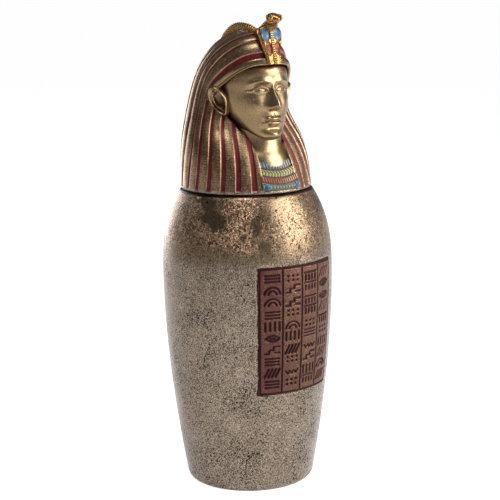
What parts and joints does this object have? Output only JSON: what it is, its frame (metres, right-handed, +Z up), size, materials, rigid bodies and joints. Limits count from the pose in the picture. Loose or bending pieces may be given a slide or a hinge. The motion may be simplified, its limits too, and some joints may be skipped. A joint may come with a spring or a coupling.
{
  "type": "canopic jar",
  "caption": "Souvenir canopic jar: hollow shouldered vessel with an engraved panel, and a loose lid shaped as a head in a striped headcloth with a rearing cobra.",
  "frame": {"origin": "centre of the jar's underside, on the surface it stands on", "axes": "+Z up along the jar's axis; the inscription panel and the lid's face look towards -Y; +X is the figure's left"},
  "size_m": [0.0848, 0.0853, 0.2335],
  "materials": {
    "jar_bronze": "cold-cast bronze resin, champagne gold, finely pitted and speckled, rubbed bright on the shoulder",
    "lid_bronze": "cold-cast bronze resin, satin champagne gold with darker recesses",
    "maroon_wash": "thin maroon paint over bronze, in the headcloth's stripes",
    "panel_wash": "maroon-brown wash over bronze, rubbed back on the high places, dark in the engraving",
    "cobra_gold": "warm bright gold with dark recesses between the scales",
    "enamel_blue": "glossy blue paint in the cobra's hood and the collar",
    "collar_paint": "painted bead rows in blue, yellow-green, red and pale teal"
  },
  "bodies": {
    "root": {"jar": "jar_bronze", "lid": "lid_bronze"}
  },
  "joints": []
}
